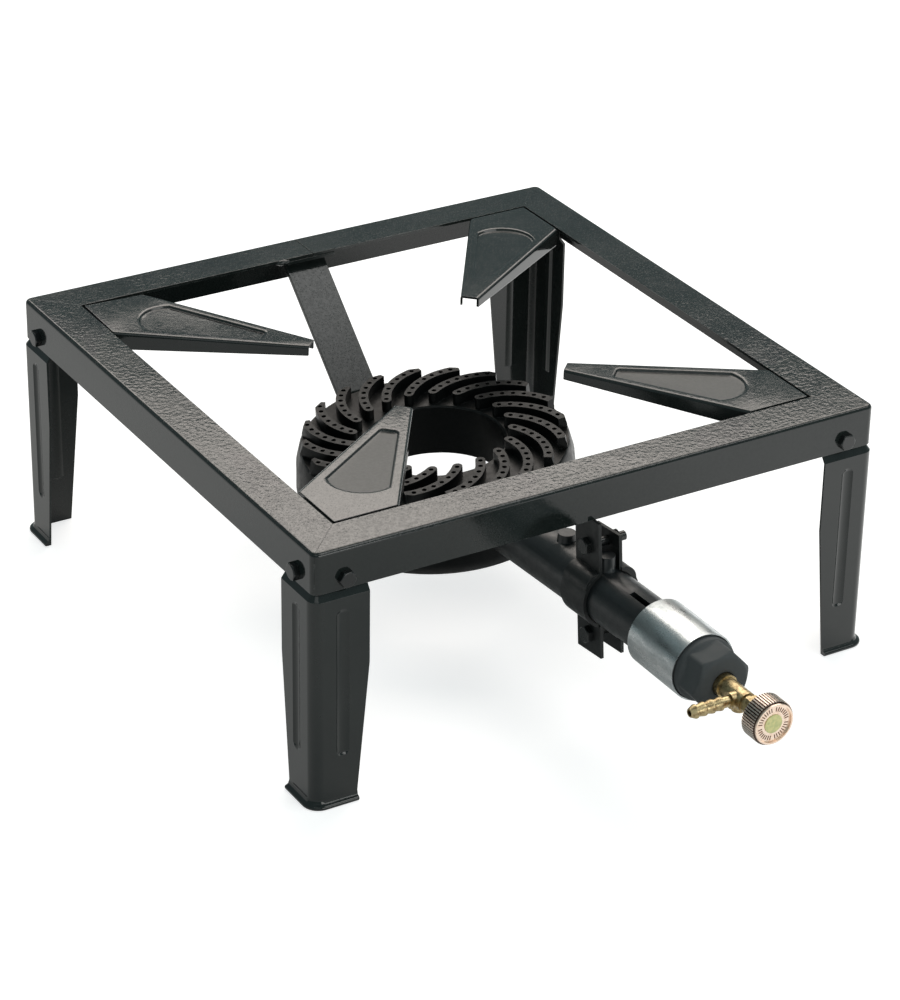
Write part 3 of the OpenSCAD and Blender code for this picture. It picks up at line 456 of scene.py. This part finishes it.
def cap_black():
    """Satin black of the cap, as on moulded iron, with well rounded edges."""
    material, tree, shader = new_material("cap_black")
    dark, pale = (0.056, 0.061, 0.063), (0.077, 0.083, 0.085)
    height, colour, rough = lumpy_look(tree, dark, pale, (0.55, 0.7))
    set_look(tree, shader, colour, rough, specular=0.12)
    set_bump(tree, shader, height, 0.03 * MM, round_edges=2.6 * MM)
    return material


def brass(name, grain):
    """Brass under patches of a darker film; grain is the depth of its skin in metres."""
    material, tree, shader = new_material(name)
    clean, filmed, bare = (0.50, 0.40, 0.22), (0.26, 0.19, 0.10), (0.74, 0.60, 0.36)
    marks = use_group(tree, SMUDGES)["Value"]
    film = patches(tree, 2.6 * MM, 0.42, 0.66, detail=3.0, roughness=0.6)
    colour = wear_edges(tree, blend_colours(tree, film, clean, filmed), bare, 0.7, FINE_WEAR)
    set_look(tree, shader, colour, spread(tree, marks, 0, 1, 0.3, 0.46), metallic=1)
    set_bump(tree, shader, noise(tree, 0.9 * MM, roughness=0.6), grain)
    return material


def knob_copper():
    """Copper-coloured knob, worn pale on the ridges and dark brown in the flutes, where the dark
    colour is painted shade in the grooves.
    """
    material, tree, shader = new_material("knob_copper")
    flute_shade, ridge = (0.05, 0.03, 0.022), (0.54, 0.46, 0.40)
    bright, dull = (1.0, 0.82, 0.68), (0.88, 0.66, 0.52)
    to_axis = (-KNOB_MIDDLE.x, 0, -KNOB_MIDDLE.z)
    radius = measure(tree, "LENGTH", mapped_place(tree, Scale=(1, 0, 1), Location=to_axis))
    outer = spread(tree, radius, KNOB_RADIUS - 0.6 * MM, KNOB_RADIUS - 0.15 * MM)
    side = spread(tree, radius, KNOB_RADIUS - 1.4 * MM, KNOB_RADIUS - 0.9 * MM)
    mottle = patches(tree, 1.6 * MM, 0.4, 0.65, detail=3.0, roughness=0.7)
    face_colour = blend_colours(tree, mottle, bright, dull)
    # The flutes' dark brown is painted shade in the grooves
    colour = blend_colours(tree, side, face_colour, blend_colours(tree, outer, flute_shade, ridge))
    set_look(tree, shader, colour, spread(tree, mottle, 0, 1, 0.26, 0.42), metallic=1)
    set_bump(tree, shader, noise(tree, 0.8 * MM), 0.02 * MM)
    return material


def disc_enamel():
    """Pale yellow-green enamel of the knob's disc, slightly uneven."""
    material, tree, shader = new_material("disc_plastic")
    tone = patches(tree, 2.2 * MM, 0.35, 0.65, detail=3.0, roughness=0.6)
    colour = blend_colours(tree, tone, (0.70, 0.66, 0.31), (0.55, 0.57, 0.27))
    set_look(tree, shader, colour, spread(tree, tone, 0, 1, 0.3, 0.45), metallic=0.4)
    set_bump(tree, shader, tone, 0.03 * MM)
    return material


def mottled(name, size, first, second, rough, metallic=0.0):
    """Plain material between two colours and two roughnesses, in patches of the given size."""
    material, tree, shader = new_material(name)
    tone = noise(tree, size)
    colour = blend_colours(tree, tone, first, second)
    set_look(tree, shader, colour, spread(tree, tone, 0.3, 0.7, *rough), metallic)
    return material


def white_floor():
    """Pale floor that is near white to the camera and keeps the shadow. In reflections it shows a
    painted glow, which is dark under the stand as painted shade and brighter towards +X as painted
    light."""
    material, tree, shader = new_material("floor_white")
    camera_glow, left_glow, right_glow, right_end = 0.68, 0.22, 0.9, 0.34
    dark_radius, bright_radius = HALF_STAND - 0.03, HALF_STAND + 0.07
    set_look(tree, shader, (0.6, 0.6, 0.6), 0.9, specular=0.1)
    path = put(tree, "ShaderNodeLightPath").outputs
    seen = times(tree, path["Is Camera Ray"], camera_glow)
    # Painted light seen only in reflections: a glow, off under the stand and stronger towards +X
    across = axis_of(tree, object_place(tree), "X")
    off_middle = measure(tree, "DISTANCE", object_place(tree), (0, STAND_MIDDLE, 0))
    off_stand = spread(tree, off_middle, dark_radius, bright_radius)
    glow_there = spread(tree, across, 0, right_end, left_glow, right_glow)
    painted_reflection_glow = times(tree, path["Is Glossy Ray"], times(tree, off_stand, glow_there))
    strength = plus(tree, seen, painted_reflection_glow)
    glow = put(tree, "ShaderNodeEmission", Color=(1, 1, 1), Strength=strength)
    both = put(tree, "ShaderNodeAddShader")
    feed_in_order(tree, both, (shader.outputs[0], glow.outputs[0]))
    tree.links.new(both.outputs[0], tree.nodes["Material Output"].inputs["Surface"])
    return material


# Pieces


def pick_only(piece):
    bpy.ops.object.select_all(action="DESELECT")
    piece.select_set(True)
    bpy.context.view_layer.objects.active = piece


def apply_modifiers(piece):
    pick_only(piece)
    for modifier in list(piece.modifiers):
        bpy.ops.object.modifier_apply(modifier=modifier.name)


def soften(piece, width, segments=2, angle=32):
    """Rounds a piece's sharp edges by a width in metres and shades it smooth between them."""
    rounding = piece.modifiers.new("rounding", "BEVEL")
    rounding.width = width
    rounding.segments = segments
    rounding.limit_method = "ANGLE"
    rounding.angle_limit = math.radians(angle)
    rounding.use_clamp_overlap = True
    rounding.miter_outer = "MITER_SHARP"
    apply_modifiers(piece)
    bpy.ops.object.shade_smooth_by_angle(angle=math.radians(angle))
    weights = piece.modifiers.new("weights", "WEIGHTED_NORMAL")
    weights.keep_sharp = True
    weights.weight = 60
    apply_modifiers(piece)


def body_of(node):
    bodies = frame["record"]["behaviour"]["bodies"]
    return next(body for body, members in bodies.items() if node in members)


def give_material(piece, material):
    piece.data.materials.clear()
    piece.data.materials.append(material)


def dress(node, material, width, segments=2, angle=32):
    """Merged copy of a CAD node with rounded edges, which stands for the node."""
    pick_only(frame["nodes"][node])
    bpy.ops.object.duplicate()
    piece = bpy.context.view_layer.objects.active
    piece.name = node + "_finished"
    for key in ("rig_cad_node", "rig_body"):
        if key in piece:
            del piece[key]
    pick_only(piece)
    bpy.ops.mesh.customdata_custom_splitnormals_clear()
    bpy.ops.object.mode_set(mode="EDIT")
    bpy.ops.mesh.select_all(action="SELECT")
    bpy.ops.mesh.remove_doubles(threshold=SAME_PLACE)
    bpy.ops.mesh.dissolve_limited(angle_limit=SAME_PLANE)
    bpy.ops.object.mode_set(mode="OBJECT")
    soften(piece, width, segments, angle)
    give_material(piece, material)
    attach(piece, body_of(node))
    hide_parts(node)


def dress_all(nodes, material, width):
    for node in nodes:
        dress(node, material, width)


def support_paint(side):
    """Paint of the front or rear pot supports; only the front ones show duller panels."""
    return gloss_paint(
        side + "_support_paint",
        peel=0.03 * MM,
        wear=0.4,
        mottle=0.15,
        round_edges=0.9 * MM,
        panels=side == "front",
    )


def dress_stand():
    rails = gloss_paint("rail_paint", peel=0.11 * MM, wear=0.7, mottle=0.36)
    pressings = gloss_paint("pressing_paint", peel=0.02 * MM, wear=0.4, mottle=0.1)
    supports = {side: support_paint(side) for side in ("front", "rear")}
    strap_low, strap_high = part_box("burner_strap")
    # Painted shade: the strap's gloss is dimmed towards its low end at the burner ring
    gloss_shade = (strap_low.z + 20 * MM, strap_high.z - 5 * MM)
    strap = gloss_paint("strap_paint", peel=0.08 * MM, wear=0.4, mottle=0.25, gloss_shade=gloss_shade)
    sides = ("front", "left", "right", "rear_left", "rear_right")
    dress_all(["rail_" + side for side in sides], rails, 0.4 * MM)
    dress("splice_plate", pressings, 0.4 * MM)
    for corner in ("front_left", "front_right", "rear_left", "rear_right"):
        paint = supports[corner.split("_")[0]]
        dress("leg_" + corner, pressings, 0.3 * MM)
        dress("support_" + corner, paint, 0.5 * MM, segments=3, angle=24)
    dress("burner_strap", strap, 0.35 * MM)
    dress_all(("clamp_left", "clamp_right"), clamp_paint(), 0.35 * MM)
    fasteners = ("leg_bolts", "leg_nuts", "clamp_bolts", "clamp_nuts", "strap_bolt")
    dress_all(fasteners, bolt_paint(), 0.3 * MM)
    return rails


def dress_burner():
    dress("burner_casting", cast_iron(), 0.35 * MM, segments=1, angle=40)
    dress("air_shutter", zinc_plate(), 0.2 * MM)
    dress("nozzle_cap", cap_black(), 2.2 * MM, segments=5)


def dress_valve():
    cast_brass = brass("valve_brass", 0.06 * MM)
    turned_brass = brass("turned_brass", 0.015 * MM)
    rubber = mottled("seal_rubber", 0.6 * MM, (0.012,) * 3, (0.022,) * 3, (0.7, 0.85))
    steel = mottled("screw_steel", 0.7 * MM, (0.62, 0.62, 0.6), (0.5, 0.5, 0.48), (0.25, 0.4), 1)
    dress("valve_body", cast_brass, 0.5 * MM, segments=3)
    turned = ("injector_jet", "hose_barb", "gland_nut", "valve_spindle")
    dress_all(turned, turned_brass, 0.2 * MM)
    dress("spindle_seal", rubber, 0.1 * MM)
    dress("knob", knob_copper(), 0.1 * MM, segments=1)
    dress("knob_screw", steel, 0.1 * MM)
    dress("knob_disc", disc_enamel(), 0.2 * MM)


def settle(piece):
    """Puts a piece's place, turn and size into its mesh."""
    pick_only(piece)
    bpy.ops.object.transform_apply(location=True, rotation=True, scale=True)


def finish_piece(piece, body, material):
    """Paints a new piece and lets it ride on a body."""
    give_material(piece, material)
    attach(piece, body)


def turned_copy(tick, turn):
    """Copy of a tick from the origin, on the knob's face and at a turn in radians."""
    pick_only(tick)
    bpy.ops.object.duplicate()
    copy = bpy.context.active_object
    copy.rotation_euler = (0, -turn, 0)
    copy.location = (KNOB_MIDDLE.x, KNOB_FACE, KNOB_MIDDLE.z)
    settle(copy)
    return copy


def mark_knob():
    """Plain ticks round the knob's face, in a ring outside the disc, in four groups."""
    count, gap_every = 36, 9
    inner, outer, width, depth = 7.8 * MM, 10.6 * MM, 0.6 * MM, 0.16 * MM
    stain = mottled(
        "tick_stain", 1.0 * MM, (0.09, 0.035, 0.02), (0.2, 0.09, 0.055), (0.4, 0.6), 0.6
    )
    bpy.ops.object.select_all(action="DESELECT")
    bpy.ops.mesh.primitive_cube_add(size=1, location=((inner + outer) / 2, 0, 0))
    tick = bpy.context.active_object
    tick.scale = (outer - inner, depth * 2, width)
    settle(tick)
    turns = [2 * math.pi * i / count for i in range(count) if i % gap_every]
    ticks = [turned_copy(tick, turn) for turn in turns]
    pick_only(tick)
    bpy.ops.object.delete()
    pick_only(ticks[0])
    for tick in ticks:
        tick.select_set(True)
    bpy.ops.object.join()
    marks = bpy.context.active_object
    marks.name = "knob_ticks"
    soften(marks, 0.08 * MM, segments=1)
    finish_piece(marks, "knob", stain)


def add_weld(paint):
    """Painted weld dab on the rear rail's inner edge, beside the seam."""
    name = "rear_weld"
    flange_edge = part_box("rail_rear_left")[0].y
    place = (-21 * MM, flange_edge + 0.3 * MM, POT_PLANE - 1.9 * MM)
    bpy.ops.object.select_all(action="DESELECT")
    bpy.ops.mesh.primitive_uv_sphere_add(segments=20, ring_count=12, radius=1, location=place)
    bead = bpy.context.active_object
    bead.name = name
    bead.scale = (5.4 * MM, 2.8 * MM, 2.0 * MM)
    settle(bead)
    clouds = bpy.data.textures.new(name + "_lumps", "CLOUDS")
    clouds.noise_scale = 2.2 * MM
    lumps = bead.modifiers.new("lumps", "DISPLACE")
    lumps.texture = clouds
    lumps.texture_coords = "GLOBAL"
    lumps.strength = 1.3 * MM
    lumps.mid_level = 0.6
    apply_modifiers(bead)
    bpy.ops.object.shade_smooth()
    finish_piece(bead, "root", paint)


def lay_floor():
    bpy.ops.object.select_all(action="DESELECT")
    bpy.ops.mesh.primitive_plane_add(size=12, location=(0, 0, cad_box[0][2]))
    floor = bpy.context.active_object
    floor.name = "floor"
    floor.data.materials.append(white_floor())


place_camera()
light_studio()
rail_paint = dress_stand()
dress_burner()
dress_valve()
mark_knob()
add_weld(rail_paint)
lay_floor()

bpy.context.scene.view_settings.view_transform = "Standard"
